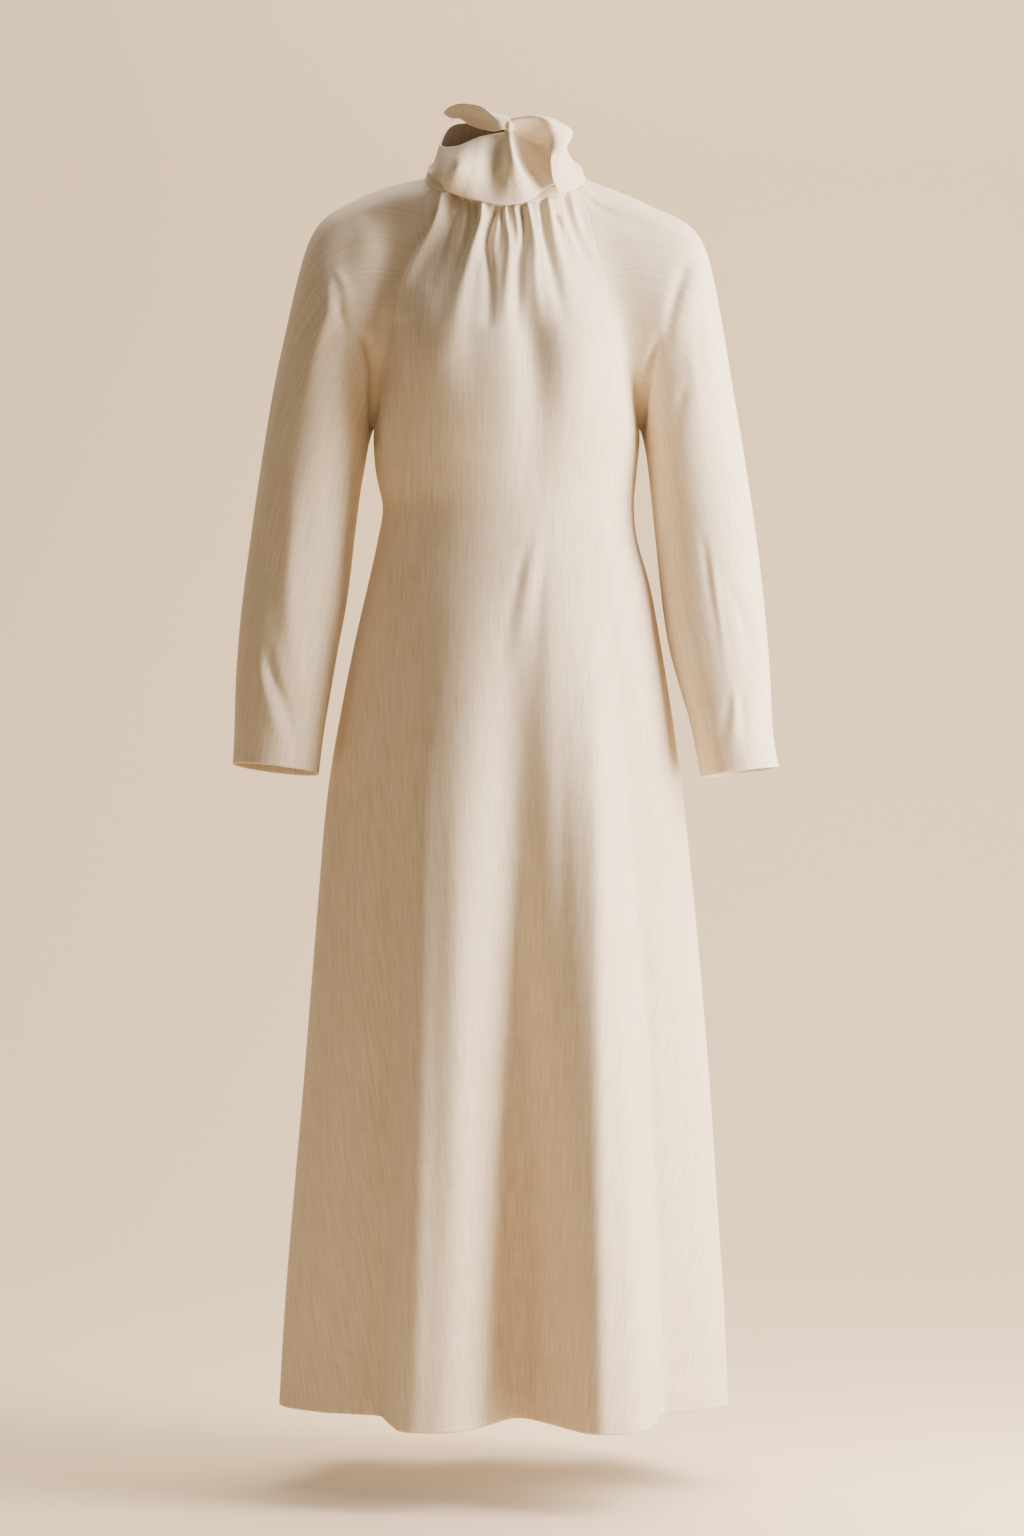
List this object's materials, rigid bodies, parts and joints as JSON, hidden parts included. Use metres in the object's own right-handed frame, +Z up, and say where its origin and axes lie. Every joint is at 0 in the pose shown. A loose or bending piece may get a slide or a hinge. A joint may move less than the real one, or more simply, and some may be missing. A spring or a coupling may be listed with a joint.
{
  "type": "halter maxi dress",
  "caption": "Long-sleeved maxi dress with a gathered, tied stand-up neck and a flared skirt, filled out as when worn.",
  "frame": {"origin": "middle of the neck seam, level with its sides, where the wearer's neck and shoulders hold the dress", "axes": "+Z up, -Y out of the dress's front, +X to the viewer's right"},
  "size_m": [0.5851, 0.3858, 1.3949],
  "materials": {
    "linen": "matt woven linen",
    "linen_double": "matt woven linen, two layers"
  },
  "bodies": {
    "root": {"dress_front": "linen", "dress_back_left": "linen", "dress_back_right": "linen", "sleeve_left": "linen", "sleeve_right": "linen", "neckband": "linen_double", "collar": "linen_double", "tie_loop_right": "linen_double", "tie_end_left": "linen_double", "tie_knot": "linen_double"}
  },
  "joints": []
}
